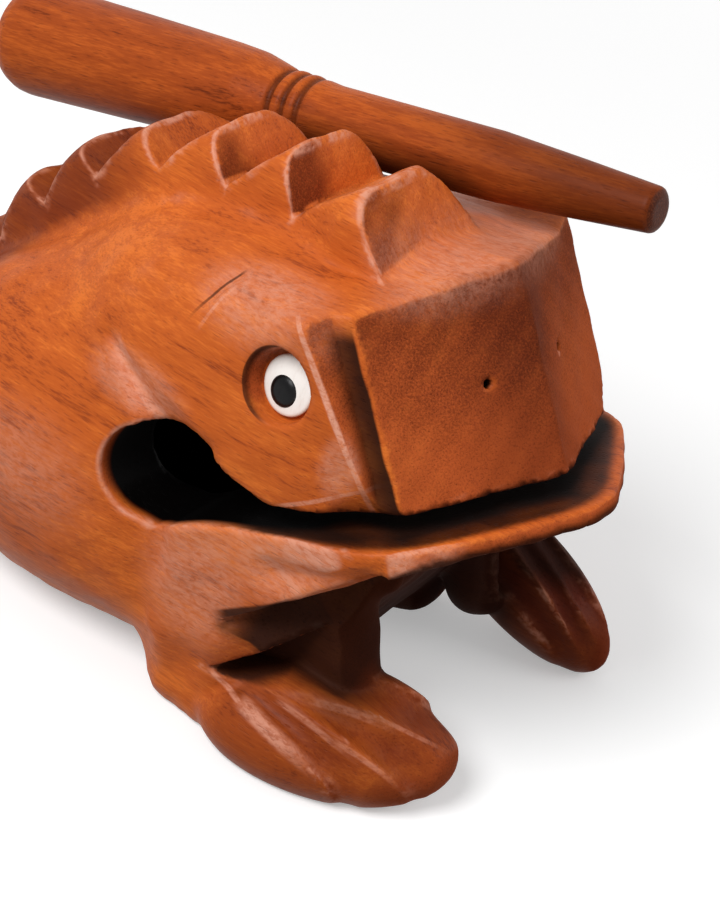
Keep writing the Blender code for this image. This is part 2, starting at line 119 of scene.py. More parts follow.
def boxField(p, centre, half, rounding, pitch=0):  # distance to a box whose edges are rounded
    q = localPoint(p, centre, 0, pitch)
    d = [np.abs(q[i]) - (half[i] - rounding) for i in range(3)]
    outside = np.sqrt(sum(np.maximum(v, 0) ** 2 for v in d))
    return outside + np.minimum(np.maximum(np.maximum(d[0], d[1]), d[2]), 0) - rounding


def barField(p, start, end, startRadius, endRadius):  # distance to a straight bar whose radius changes evenly
    a, b = np.asarray(start, float), np.asarray(end, float)
    ab = b - a
    d = [p[i] - a[i] for i in range(3)]
    t = np.clip(sum(d[i] * ab[i] for i in range(3)) / (ab @ ab), 0, 1)
    away = np.sqrt(sum((d[i] - t * ab[i]) ** 2 for i in range(3)))
    return away - (startRadius + (endRadius - startRadius) * t)


def wedgeField(p, tip, upper, lower):  # a V seen from the side, its tip at the back: the farther of two half planes
    def beyond(end):
        dy, dz = end[0] - tip[0], end[1] - tip[1]
        return ((p[1] - tip[0]) * dz - (p[2] - tip[1]) * dy) / math.hypot(dy, dz)
    return np.maximum(beyond(upper), -beyond(lower))


def lineFrame(start, end, facing):  # a line's start and length, with unit vectors along it, across it and outwards
    start = np.asarray(start, float)
    run = np.asarray(end, float) - start
    length = np.linalg.norm(run)
    run = run / length
    off = unit(np.cross(run, facing))
    return start, length, run, off, np.cross(off, run)


def score(p, start, end, facing, widths, soft, power):  # a cut square to the surface: 1 - (across / half width)^power
    a, length, *axes = lineFrame(start, end, facing)
    t, across, height = [sum((p[i] - a[i]) * v[i] for i in range(3)) for v in axes]
    half = widths[0] + (widths[1] - widths[0]) * np.clip(t / length, 0, 1)
    ends = np.clip(t / soft + 0.5, 0, 1) * np.clip((length - t) / soft + 0.5, 0, 1)
    near = ramp(np.abs(height), 17, 12)
    return np.clip(1 - (np.abs(across) / half) ** power, 0, 1) * half / max(widths) * ends * near


# The frog's block. Planes are (normal, point), eggs (centre, radii), bars (start, end, both radii).
frogBody = {
    "cell": 1.24,  # pitch of the mesh
    "low": (-60, -110, -3), "high": (60, 82, 134),  # corners of the space that is searched
    "crestAxis": (-30.7, 18.9),  # y, z of the axis that the crest's arc and the back turn about
    "tipRadius": 111, "rootRadius": 97.7,
    "crestCore": 93.5,  # radius below which the crest's sides stand upright
    "crestMiddle": -2,  # x where the near, square side meets the far, falling side
    "crestSides": (17.3, 16), "crestFullness": (4.6, 2.3),
    "firstTooth": -4,  # degrees behind the vertical
    "firstWider": 4.2,  # the first tooth's near side stands out by this
    "firstFace": (0, -0.72, 0.69),
    "toothPitch": 11.2,
    "toothBack": 0.72,  # share of the pitch that slopes down behind a tip
    "crestEnd": 83,
    "backRadius": 95, "halfWidth": 56, "fullness": 2.6,
    "keel": ((0, -5, 55), (60, 140, 61)),
    "chest": ((0, -0.89, -0.455), (0, -48, 0)),
    "throat": ((-0.983, -0.183, 0), (-51, -23, 58.8)),
    "throatReach": 40,
    "haunch": ((-23, 18, 40), (33, 51, 40)),
    "snoutTop": (0, -69.6, 122.3),
    "facetNormal": (-0.409, -0.773, 0.484),
    "farFacetNormal": (0.32, -0.804, 0.501),
    "roofNormal": (-0.1315, 0.2131, 0.9679),
    "farCorner": (33, 0.42),  # x beyond which the roof rises on the far side, and how steeply
    "cheekPoint": (-44.3, -60.6, 99.2), "cheekNormal": (-1, 0.03, -0.11),
    "grooveX": 38.7, "grooveDepth": 2.9, "rebateDepth": 3,
    "bore": (-23, 58.8),  # y, z of the throat bore
    "boreEnds": ((-2.2, 1.5, 0), (6.4, 4.6, 0)),  # forward and up of the two rounds that make the bore
    "boreRadius": (11.2, 9),
    "funnelReach": 36, "funnelRise": 12, "funnelFloor": -8.8,
    "mouthPitch": 20, "slotTop": -1.2, "slotBottom": -6.9,
    "lipReach": 91, "lipHalfWidth": 48.6,
    "lipPoint": 10.5,  # rounding of the lip's point
    "lipUnder": -11.6, "jawUnder": -10,
    "jawFrom": 66,  # behind this the jaw deepens towards the throat
    "jawFall": 0.42,
    "jawScale": 0.92,  # makes a distance of a height over that slope
    "armFacet": ((-0.706, -0.457, 0.541), (-47, -46.5, 35.4)),  # the hollow between the jaw and the forearm
    "footCut": ((-45, 18.8), (-72, 43.5), (-68, 17)),  # y, z of a V over the foot: tip, upper and lower end
    "upperArm": ((-36, -40, 30), (11.5, 16, 34), 11, 3),  # a box: centre, half sizes, rounding, pitch
    "forearms": (((-41, -44, 27), (-19, -68, 46), 8, 4), ((41, -44, 27), (36, -62, 38), 8, 5)),
    "legs": (((-25, -57, 46), (-25, -66, 12), 10, 11.5), ((36, -54, 46), (37, -64, 16), 9.5, 9.5)),
    "chamber": ((0, 1, 52), (36, 46, 36)),
    "eye": (-43.4, -46.2, 94.2), "eyeNormal": (-0.975, 0.068, 0.21),
    "socketRadius": 7.6, "socketDepth": 3.5,
    "nostril": (-13, -77.2, 100.5), "nostrilRadius": 1,
}
chiselCuts = {  # depth, start, end, facing, half widths, softness of the ends, power
    "flute": (5.2, (-45.8, 1.6, 84.5), (-52, -32.5, 68), (-0.9, 0, 0.43), (0.8, 9.5), 2.5, 1),
    "nick": (0.8, (-34, -25, 109), (-42, -20.8, 101), (-0.75, 0.1, 0.65), (2.6, 2.2), 5, 2),
    "elbow crease": (0.9, (-52, -26, 54), (-51, -28, 38), (-1, 0, 0), (3, 3), 12, 1),
    "jaw hollow": (2.4, (-47.5, -55, 51.5), (-44, -80, 68), (-0.8, -0.3, -0.5), (5.5, 2.5), 6, 1),
}
frogFeet = {  # each an egg with its yaw and pitch, and scoops between the toes: depth, start, end, half widths
    "right": {
        "egg": ((-31.5, -70, 9), (18.5, 31, 15), 22, -4), "facing": (-0.5, -0.1, 0.86),
        "scoops": ((3.4, (-46, -57, 18.5), (-43.6, -84, 13), (2.4, 5.2)),
                   (4.4, (-42.8, -66, 21.2), (-31.5, -94, 15.5), (1.8, 6.4)),
                   (3.8, (-35, -66, 23.5), (-20, -92, 18.5), (3, 7.5))),
    },
    "left": {
        "egg": ((45, -71, 17), (10.5, 30, 14), 4, 25), "facing": (-0.55, -0.25, 0.8),
        "scoops": ((2.4, (35.5, -66, 25), (37.5, -92, 11), (4, 2.6)),
                   (2.6, (41.5, -64, 33), (40, -94, 15), (3.2, 2.4)),
                   (2.4, (46.5, -64, 33), (45, -93, 18), (2.6, 3))),
    },
}


def mouthPoint(p):  # forward and up from the throat bore, along the pitched mouth
    c, s = cosSin(frogBody["mouthPitch"])
    y, z = p[1] - frogBody["bore"][0], p[2] - frogBody["bore"][1]
    return z * s - y * c, y * s + z * c


def crestPolar(p):  # radius and degrees behind the vertical, about the crest's axis
    y, z = p[1] - frogBody["crestAxis"][0], p[2] - frogBody["crestAxis"][1]
    return np.hypot(y, z), np.degrees(np.arctan2(y, z))


def rebateField(p, facet):  # the strip between the groove and the cheek, set back more at the brow than at the mouth
    reach = 0.4 * np.clip((p[2] - 82) / 32, 0, 1.2) - 0.22
    return facet + frogBody["rebateDepth"] - reach * (p[0] + frogBody["grooveX"])


def headField(p, q, torso):  # facets, roof and cheek as planes, the brow softer the farther it lies behind the facet
    b = frogBody
    forward, up = mouthPoint(q)
    facet = np.where(p[0] > 0, planeField(p, b["farFacetNormal"], b["snoutTop"]),
                     planeField(p, b["facetNormal"], b["snoutTop"]))
    cornerX, cornerRise = b["farCorner"]
    roof = planeField(q, b["roofNormal"], b["snoutTop"]) - cornerRise * np.maximum(p[0] - cornerX, 0)
    cheek = planeField(q, b["cheekNormal"], b["cheekPoint"])
    bevel = (-q[0] - 44.5 + 0.226 * (forward - 26) - 0.6 * (up + 1.5)) / 1.19  # the cheek tucks in above the mouth
    side = smoothMax(smoothMax(cheek, bevel, 3), roof, np.clip(3 - 0.5 * facet, 2, 22))
    head = np.maximum(smoothMax(facet, side, 1.2), -9 - up)
    head = smoothMax(head, -forward - 30, 40)
    joined = smoothMin(torso, head, 14)
    groove = (np.abs(p[0] + b["grooveX"]) - (b["grooveDepth"] + facet) * 0.45) * 0.9  # a V beside the near facet
    joined = smoothMax(joined, -np.maximum(groove, facet - 4), 0.4)
    joined = smoothMax(joined, np.minimum(rebateField(p, facet), -p[0] - b["grooveX"]), 0.5)
    step = np.minimum(p[0] - b["grooveX"] - 2, facet + b["rebateDepth"])  # a rebate beside the far one
    return smoothMax(joined, step, 0.6)


def jawField(p):  # a thin lip with a rounded point, deepening towards the throat
    b = frogBody
    forward, up = mouthPoint(p)
    across = -p[0]
    front = np.hypot(across, b["lipPoint"]) * 0.527 + (forward - b["lipReach"]) * 0.85
    deep = (b["jawUnder"] - b["jawFall"] * (b["jawFrom"] - forward) - up) * b["jawScale"]
    under = smoothMax(smoothMin(b["lipUnder"] - up, deep, 4), -forward - 6, 8)
    lip = smoothMax(smoothMax(front, across - b["lipHalfWidth"], 13), under, 1.6)
    lip = smoothMax(lip, up + 4, 0.6)
    corner = 0.45 * (across - b["lipHalfWidth"]) + 0.55 * (forward - 62) - 0.7 * (up + 11)
    return smoothMax(lip, corner, 2)


def overhang(q):  # how far a point lies above the jaw's underside
    forward, up = mouthPoint(q)
    return (up + 9.2 + frogBody["jawFall"] * np.maximum(frogBody["jawFrom"] - forward, 0)) * frogBody["jawScale"]


def limbField(p, q):  # a rounded upper arm with chisel scallops, the forearm turning in under the jaw, and unlike legs
    scallop = 0.12 * np.abs(np.sin((q[1] * 0.8 + q[2] * 0.25) * math.pi / 3.4))
    arm = boxField(q, *frogBody["upperArm"]) + scallop
    forearm, leg = [np.minimum(*[barField(p, *bar) for bar in frogBody[name]]) for name in ("forearms", "legs")]
    return smoothMin(arm, smoothMin(forearm, leg, 2), 3)


def toeScoops(p, side):  # how deep the scoops between a foot's toes are
    foot = frogFeet[side]
    return sum(deep * score(p, *line, foot["facing"], widths, 12, 2) for deep, *line, widths in foot["scoops"])


def feetField(p):  # two unlike leaves scooped between the toes, as the carver left them
    return np.minimum(*[eggField(p, *frogFeet[side]["egg"]) + toeScoops(p, side) for side in ("right", "left")])


def crestParts(p, q):
    # An arch whose top is |u|^n + |v|^n = 1, square on the near side and falling on the far side,
    # and the plane of the first tooth's face.
    b = frogBody
    radius, angle = crestPolar(q)
    u = p[0] - b["crestMiddle"]
    near = u < 0
    fullness = np.where(near, b["crestFullness"][0], b["crestFullness"][1])
    half = np.where(near, b["crestSides"][0] + b["firstWider"] * ramp(angle, 3, -4), b["crestSides"][1])
    rise = b["tipRadius"] - b["crestCore"]
    u, v = np.abs(u) / half + 1e-4, np.maximum(radius - b["crestCore"], 0) / rise + 1e-4
    k = (u ** fullness + v ** fullness) ** (1 / fullness)
    slope = np.hypot(u ** (fullness - 1) / half, v ** (fullness - 1) / rise) * k ** (1 - fullness)
    arch = (k - 1) / (slope + 1e-3)
    c, s = cosSin(b["firstTooth"])
    tip = (0, b["crestAxis"][0] + b["tipRadius"] * s, b["crestAxis"][1] + b["tipRadius"] * c)
    return arch, planeField(q, b["firstFace"], tip)


def crestField(p, q):  # the arch and the first face, ended at both ends of the arc
    angle = crestPolar(q)[1]
    ends = np.maximum(angle - frogBody["crestEnd"], -24 - angle) * 1.7
    return np.maximum(smoothMax(*crestParts(p, q), 0.8), ends)


def notchField(q):  # the saw teeth's profile: a long slope behind each tip, then a steep face up to the next
    b = frogBody
    radius, angle = crestPolar(q)
    step = (angle - b["firstTooth"]) / b["toothPitch"]
    step = step - np.floor(step)
    back = b["toothBack"]
    height = np.where(step < back, 1 - step / back, (step - back) / (1 - back))
    root = b["rootRadius"] + 4.5 * ramp(angle, 8, 28) + 1.5 * ramp(angle, 50, 78)  # shallower towards the rump
    saw = (radius - (root + (b["tipRadius"] - root) * height)) * 0.6
    ends = np.maximum(b["firstTooth"] - angle, angle - b["crestEnd"]) * 1.9
    return np.minimum(saw, -np.maximum(-q[0] - 28, ends))


def skinField(p):  # the frog before it is hollowed
    b = frogBody
    q = folded(p)  # both sides are alike but for the feet, the crest and the snout
    forward = mouthPoint(q)[0]
    angle = crestPolar(q)[1]
    torso = lensField(q, (0,) + b["crestAxis"], b["halfWidth"], b["backRadius"], b["fullness"])
    torso = smoothMax(torso, eggField(q, *b["keel"]), 10)
    torso = smoothMax(torso, planeField(q, *b["chest"]), 6)
    torso = smoothMax(torso, forward - b["throatReach"], 6)
    torso = smoothMax(torso, planeField(q, *b["throat"]), 5)
    body = headField(p, q, torso)
    body = smoothMin(body, eggField(q, *b["haunch"]), 10)
    body = smoothMin(body, jawField(q), 3)
    body = smoothMin(body, limbField(p, q), 2 + 6 * ramp(q[1], -46, -32))
    elbow = np.maximum(np.maximum(-planeField(q, *b["armFacet"]), overhang(q)), forward - 58)
    body = smoothMax(body, -elbow, 0.8)
    body = smoothMax(body, -np.maximum(wedgeField(q, *b["footCut"]), q[0] + 33), 0.8)
    body = smoothMin(body, crestField(p, q), 1.2 + 3.8 * ramp(angle, -6, -1))
    body = smoothMax(body, notchField(q), 0.7)
    wave = (np.sin(q[0] * 0.31 + q[1] * 0.23 + 1.3) * np.sin(q[1] * 0.19 - q[2] * 0.33 + 0.4)
            + np.sin(q[1] * 0.47 + q[2] * 0.29) * np.sin(q[0] * 0.53 - q[2] * 0.21 + 2))
    body = body + 0.13 * wave  # hand tools leave the surface slightly uneven
    for depth, *cut in chiselCuts.values():
        body = body + depth * score(q, *cut)
    body = smoothMin(body, feetField(p), 1.6)
    return smoothMax(body, -q[2], 1)


def hollowField(p):  # slot, bore with its funnel, chamber, nostrils
    b = frogBody
    q = folded(p)
    forward, up = mouthPoint(q)
    ahead = np.maximum(forward - 38, 0)
    slot = np.maximum(up - b["slotTop"] + 0.05 * ahead, b["slotBottom"] - 0.012 * ahead - up)
    slot = np.maximum(slot, -forward)
    bore = barField((forward, up, np.zeros_like(up)), *b["boreEnds"], *b["boreRadius"])
    t = np.clip(forward / b["funnelReach"], 0, 1)
    funnel = np.maximum(up - b["slotTop"] - b["funnelRise"] * ramp(forward, 31, 12) ** 1.3,
                        b["funnelFloor"] + (b["slotBottom"] - b["funnelFloor"]) * t - up)
    funnel = np.maximum(funnel, np.maximum(-forward, forward - b["funnelReach"])) * 0.85
    hollow = smoothMin(np.minimum(slot, funnel), bore, 6)
    hollow = np.minimum(hollow, eggField(q, *b["chamber"]))
    n = unit(b["facetNormal"])
    start = np.asarray(b["nostril"]) - n * 6
    return np.minimum(hollow, barField(q, start, start + n * 16, b["nostrilRadius"], b["nostrilRadius"]))


def socketField(p):  # a drilled socket whose mouth is opened by a cone
    b, q = frogBody, folded(p)
    n = unit(b["eyeNormal"])
    d = [q[i] - b["eye"][i] for i in range(3)]
    depth = sum(d[i] * n[i] for i in range(3))
    away = np.sqrt(sum((d[i] - depth * n[i]) ** 2 for i in range(3)))
    cone = np.clip(depth + 3, 0, 8) * 0.18
    return np.maximum(away - b["socketRadius"] - cone, -depth - b["socketDepth"])


def frogField(p):  # the skin, less the hollows, less the sockets
    return smoothMax(smoothMax(skinField(p), -hollowField(p), 0.9), -socketField(p), 0.5)


def inChunks(field, points):  # a field at N x 3 points, a part at a time
    chunks = np.array_split(points, max(1, len(points) // 300000))
    return np.concatenate([field(tuple(chunk.T.astype(np.float32))) for chunk in chunks]).astype(np.float64)


def slopeOf(field, points, reach):  # unit gradient from four samples at the corners of a small tetrahedron
    corners = np.array(((1, -1, -1), (-1, -1, 1), (-1, 1, -1), (1, 1, 1)), float)
    g = sum(c * inChunks(field, points + c * reach)[:, None] for c in corners)
    return g / (np.linalg.norm(g, axis=1, keepdims=True) + 1e-9)


def surfaceOf(field, low, high, cell):
    # The zero level as quads. Each crossed cell gets one vertex, where the tangent planes at its crossed edges
    # meet by least squares; the four cells round a crossed edge make a face.
    coarse = 4
    count = (np.ceil((np.asarray(high) - low) / (cell * coarse)) * coarse).astype(int)
    axes = [low[i] + cell * np.arange(count[i] + 1) for i in range(3)]
    rough = np.stack(np.meshgrid(*[a[::coarse] for a in axes], indexing="ij"), -1)
    roughValue = inChunks(field, rough.reshape(-1, 3)).reshape(rough.shape[:3])
    near = np.abs(roughValue)
    for i in range(3):
        near = np.minimum(np.take(near, range(near.shape[i] - 1), i), np.take(near, range(1, near.shape[i]), i))
    busy = near < cell * coarse * 1.4
    for i in range(3):
        busy = np.repeat(busy, coarse, i)
    nodes = np.zeros(count + 1, bool)
    for i, j, k in np.ndindex(2, 2, 2):
        nodes[i:i + count[0], j:j + count[1], k:k + count[2]] |= busy
    value = np.where(roughValue > 0, 9.0, -9.0)
    for i in range(3):
        value = np.take(value, np.minimum(np.arange(count[i] + 1) // coarse, roughValue.shape[i] - 1), i)
    where = np.argwhere(nodes)
    value[nodes] = inChunks(field, np.stack([axes[i][where[:, i]] for i in range(3)], 1))
    inside = value < 0

    edgeCells, edgePoints, flips = [], [], []
    for i in range(3):
        j, k = (i + 1) % 3, (i + 2) % 3
        a = np.take(inside, range(count[i]), i)
        crossed = np.argwhere(a != np.take(inside, range(1, count[i] + 1), i))
        step = np.eye(3, dtype=int)[i]
        v0, v1 = value[tuple(crossed.T)], value[tuple((crossed + step).T)]
        t = v0 / (v0 - v1)
        start = np.stack([axes[n][crossed[:, n]] for n in range(3)], 1)
        for again in range(2):
            t = np.clip(t - inChunks(field, start + (t * cell)[:, None] * step) / (v1 - v0), 0, 1)
        around = np.zeros((4, 3), int)
        around[:, j], around[:, k] = (-1, 0, 0, -1), (-1, -1, 0, 0)
        edgeCells.append(np.ravel_multi_index(tuple(np.moveaxis(crossed[:, None] + around, -1, 0)), count))
        edgePoints.append(start + (t * cell)[:, None] * step)
        flips.append(v0 > 0)
    edgeCells, edgePoints, flips = np.concatenate(edgeCells), np.concatenate(edgePoints), np.concatenate(flips)
    normals = slopeOf(field, edgePoints, 0.12)

    cells, faces = np.unique(edgeCells, return_inverse=True)
    faces = faces.reshape(edgeCells.shape)
    owner = faces.ravel()
    n, p = np.repeat(normals, 4, 0), np.repeat(edgePoints, 4, 0)
    total = lambda w: np.bincount(owner, weights=w, minlength=len(cells))
    share = np.bincount(owner, minlength=len(cells)).astype(float)
    middle = np.stack([total(p[:, i]) for i in range(3)], 1) / share[:, None]
    matrix = np.stack([np.stack([total(n[:, i] * n[:, j]) for j in range(3)], 1) for i in range(3)], 1)
    off = np.einsum("ij,ij->i", n, p)
    right = np.stack([total(n[:, i] * off) for i in range(3)], 1) - np.einsum("nij,nj->ni", matrix, middle)
    matrix += (0.08 * share)[:, None, None] * np.eye(3)
    vertex = middle + np.linalg.solve(matrix, right[:, :, None])[:, :, 0]
    corner = np.stack([axes[i][ix] for i, ix in enumerate(np.unravel_index(cells, count))], 1)
    vertex = np.clip(vertex, corner - 0.05 * cell, corner + 1.05 * cell)
    faces[flips] = faces[flips][:, ::-1]
    return vertex, faces


def meshFrom(name, vertices, *faceSets):  # arrays in millimetres to a smooth mesh in metres
    mesh = bpy.data.meshes.new(name)
    mesh.vertices.add(len(vertices))
    mesh.vertices.foreach_set("co", (np.asarray(vertices) * mm).astype(np.float32).ravel())
    loops = np.concatenate([faces.ravel() for faces in faceSets]).astype(np.int32)
    sides = np.concatenate([np.full(len(faces), faces.shape[1]) for faces in faceSets])
    mesh.loops.add(len(loops))
    mesh.loops.foreach_set("vertex_index", loops)
    mesh.polygons.add(len(sides))
    mesh.polygons.foreach_set("loop_start", (np.cumsum(sides) - sides).astype(np.int32))
    mesh.update(calc_edges=True)
    mesh.validate()
    mesh.shade_smooth()
    return mesh


def placed(name, data):  # a new object in the scene
    made = bpy.data.objects.new(name, data)
    bpy.context.scene.collection.objects.link(made)
    return made


def pieceFrom(name, mesh, body, node):
    piece = placed(name, mesh)
    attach(piece, body)
    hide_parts(node)


def addFigures(mesh, figures):  # one number for each vertex under each name, for the materials
    for name, numbers in figures.items():
        mesh.attributes.new(name, 'FLOAT', 'POINT').data.foreach_set("value", np.asarray(numbers, np.float32))


def shelter(points, normals, reach):  # 1 - field / reach, at a reach off the surface: 0 in the open, 1 in a corner
    return np.clip(1 - inChunks(frogField, points + normals * reach) / reach, 0, 1.5)


def exposure(points, normals, reach):  # the same below the surface: 0 on a flat, 1 on an edge
    return np.minimum(shelter(points, normals, -reach), 1)


def meeting(first, second, reach):  # 1 on the line where two surfaces meet
    return ramp(np.abs(first), reach, 0) * ramp(np.abs(second), reach, 0)


sheenSpots = (  # centre and radii of places where a pale sheen is painted
    ((-50, -39, 42), (18, 20, 26)), ((-47, -58, 56), (14, 24, 16)), ((-48, -12, 78), (12, 20, 9)),
    ((-12, -60, 122), (40, 20, 13)), ((-38, -36, 106), (14, 26, 14)), ((-44, -65, 84), (5, 7, 11)),
    ((-64, 14, 48), (16, 50, 34)),
)


def bodyFigures(points, normals):  # painted shade where the wood is sheltered, under the jaw and inside; wear with painted highlights; end grain; painted sheen; stain with painted shade
    b, p = frogBody, points.T
    q = x, y, z = folded(p)
    forward, up = mouthPoint(q)
    crestRadius, crestAngle = crestPolar(q)
    onCrest = ramp(crestRadius, 93, 97)
    farSide = p[0] > 0
    nearFacet = planeField(p, b["facetNormal"], b["snoutTop"])
    farFacet = planeField(p, b["farFacetNormal"], b["snoutTop"])
    rebate = rebateField(p, nearFacet)
    over = overhang(q)
    skin, hollow, socket = [inChunks(field, points) for field in (skinField, hollowField, socketField)]

    # Painted shade in hollows: how sheltered each point is, over two reaches.
    wideShelter = 0.5 * (shelter(points, normals, 7) + shelter(points, normals, 16))
    # Pale on exposed edges: wear, with a painted highlight.
    wearAndSheen = 0.5 * (exposure(points, normals, 1.4) + exposure(points, normals, 3))
    wearAndSheen = wearAndSheen * (1 - 0.85 * ramp(up, -5, -4) * ramp(hollow, 4, 0))  # less over the mouth
    lipFront = ramp(forward, 50, 58) * ramp(up, -3.5, -4.5) * ramp(up, -16, -14)
    wearAndSheen = wearAndSheen * (1 - 0.75 * lipFront)
    strip = ramp(np.abs(rebate), 2.5, 1.5) * (np.abs(p[0] + 42) < 5.5) * (nearFacet > -12)
    wearAndSheen = wearAndSheen * (1 - 0.9 * strip) * np.clip(np.abs(socket) / 2.5, 0.15, 1)
    toothSide = ramp(p[0], -13, 1) * (np.maximum(nearFacet, farFacet) < -5)
    endGrain = np.abs(normals[:, 1]) * (1 - np.where(crestAngle > 1, 0.5, 0.3) * onCrest * toothSide)
    sheen = np.max([1 - sum(((q[i] - c[i]) / r[i]) ** 2 for i in range(3)) for c, r in sheenSpots], axis=0)
    sheen = np.clip(sheen, 0, 1)

    # Darker legs and feet, stain with painted shade, more on the far side and in the toe scoops; painted shade on the
    # rear teeth; the facets darker next to the middle ridge.
    legs = ramp(z, 46, 32) * ramp(y, -42, -54)
    toes = np.clip(toeScoops(p, "right") + toeScoops(p, "left"), 0, 4)
    rearTeeth = 0.75 * onCrest * ramp(crestAngle, 26, 39)
    stainAndShade = np.maximum(legs * np.where(farSide, 0.82, 0.54) + 0.1 * toes * legs, rearTeeth)
    stainAndShade = stainAndShade + 0.54 * ramp(np.abs(nearFacet), 2, 1) * ramp(x, -24, -8) * (p[0] < 0.5)
    stainAndShade = stainAndShade + 0.45 * ramp(np.abs(farFacet), 2, 1) * ramp(x, -15, -3) * (p[0] >= 0.5)

    # Painted shade under the jaw and between the legs, and on the cut face under the jaw's overhang, deepest under the
    # edge.
    start = np.where(farSide, -24, -40)
    under = ramp(x, -42, -35) * ramp(y, start, start - 10) * ramp(up, -9.5, -12.5) * ramp(y, -82, -73)
    under = under * np.where(farSide, 1, ramp(z, 6, 18))
    underArm = ramp(planeField(q, *b["armFacet"]), -1.6, -0.6) * ramp(over, 0, -1) * ramp(z, 20, 25)
    deepest = np.maximum(ramp(y, -50, -64), ramp(over, -5, 0))
    underArm = underArm * (0.4 + 0.56 * deepest) * ramp(y, -45, -47)

    # Painted highlights along the crest's rims, the near cheek's edge and the bore's rim.
    arch, firstFace = crestParts(p, q)
    toothStep = (crestAngle - b["firstTooth"]) / b["toothPitch"] % 1
    edgeHighlights = np.maximum(meeting(arch, notchField(q), 1.5) * (toothStep > 0.66), meeting(arch, firstFace, 1.5))
    edgeHighlights = edgeHighlights * onCrest * ramp(p[0], 9, -6)
    cheekEdge = meeting(rebate, planeField(q, b["cheekNormal"], b["cheekPoint"]), 2)
    edgeHighlights = np.maximum(edgeHighlights, 0.55 * cheekEdge * (p[0] < 0) * (z > 70) * (y < -40))
    boreRim = meeting(hollow, skin, 2.2) * ramp(forward, 6, -2)
    return {
        # crevice is dirt and painted shade in creases, recess is painted shade in hollows, inside is painted shade deep
        # in the bore, slot, chamber and nostrils.
        "crevice": shelter(points, normals, 2.5) * (1 - 0.5 * onCrest),
        "recess": wideShelter * (1 - 0.75 * onCrest),
        "wearAndSheen": wearAndSheen, "endGrain": endGrain,
        "inside": -skin * ramp(socket, 0.5, 2),
        "sheen": sheen ** 1.6, "stainAndShade": stainAndShade, "under": np.maximum(under, underArm),
        "socket": -socket, "edgeHighlights": np.maximum(edgeHighlights, 0.8 * boreRim),
    }


bodyVertices, bodyFaces = surfaceOf(frogField, frogBody["low"], frogBody["high"], frogBody["cell"])
bodyMesh = meshFrom("carvedFrog", bodyVertices, bodyFaces)
pieceFrom("carvedFrog", bodyMesh, "frog", "frog_body")
addFigures(bodyMesh, bodyFigures(bodyVertices, slopeOf(frogField, bodyVertices, 0.4)))
print("carved body:", len(bodyVertices), "vertices,", len(bodyFaces), "faces")


def turnedGrid(outline, start, axis, turns):  # a profile of (along, radius) carried round an axis, closed at both poles
    a = unit(axis)
    side = unit(np.cross(a, (0.3, 0.2, 0.93)))
    other = np.cross(a, side)
    angle = np.arange(turns) * 2 * math.pi / turns
    rim = np.cos(angle)[:, None] * side + np.sin(angle)[:, None] * other
    ring = outline[1:-1]
    points = start + ring[:, 0, None, None] * a + ring[:, 1, None, None] * rim
    points = np.concatenate((points.reshape(-1, 3), [start + outline[0, 0] * a], [start + outline[-1, 0] * a]))
    i, j = np.meshgrid(np.arange(len(ring) - 1), np.arange(turns), indexing="ij")
    k = (j + 1) % turns
    quads = np.stack((i * turns + j, i * turns + k, (i + 1) * turns + k, (i + 1) * turns + j), -1).reshape(-1, 4)
    j, k = np.arange(turns), (np.arange(turns) + 1) % turns
    last = (len(ring) - 1) * turns
    poles = np.concatenate((np.stack((k, j, np.full(turns, len(points) - 2)), 1),
                            np.stack((last + j, last + k, np.full(turns, len(points) - 1)), 1)))
    return points, quads, poles


def softOutline(corners, spacing, softness):  # straight runs resampled evenly, then averaged to round the corners
    corners = np.asarray(corners, float)
    run = np.concatenate(([0], np.cumsum(np.linalg.norm(np.diff(corners, axis=0), axis=1))))
    at = np.linspace(0, run[-1], int(run[-1] / spacing) + 1)
    line = np.stack([np.interp(at, run, corners[:, i]) for i in range(2)], 1)
    width = int(softness / spacing) * 2 + 1
    padded = np.pad(line, ((width // 2, width // 2), (0, 0)), mode="reflect", reflect_type="odd")
    kernel = np.hanning(width + 2)[1:-1]
    return np.stack([np.convolve(padded[:, i], kernel / kernel.sum(), "valid") for i in range(2)], 1)


scraperStick = {
    "beside": 26.4,  # x of the stick's axis
    "rise": 102.1,  # above the crest's axis, square to the stick
    "behind": 113,  # from there back to the thick end
    "lean": 11.7,
    "outline": ((0, 0), (0, 8), (1.2, 10.6), (3.2, 12.8), (6, 13.9), (9, 14.2), (40, 13.3), (70, 12.2), (78, 11.6),
                (83, 10.5), (87.2, 9.5), (87.9, 8.5), (88.9, 8.5), (89.5, 9.4), (91.4, 9.4), (92, 8.4), (93, 8.4),
                (93.6, 9.3), (95.4, 9.2), (96, 8.2), (97, 8.2), (97.6, 8.9), (102, 8.4), (148, 8), (170, 6.6),
                (189, 5.2), (190, 3.7), (190, 0)),
    "rings": (86, 98.2),  # between these lie the three turned grooves
    "shadowSide": (-0.336, -0.473, -0.815),
    "turns": 72,
}


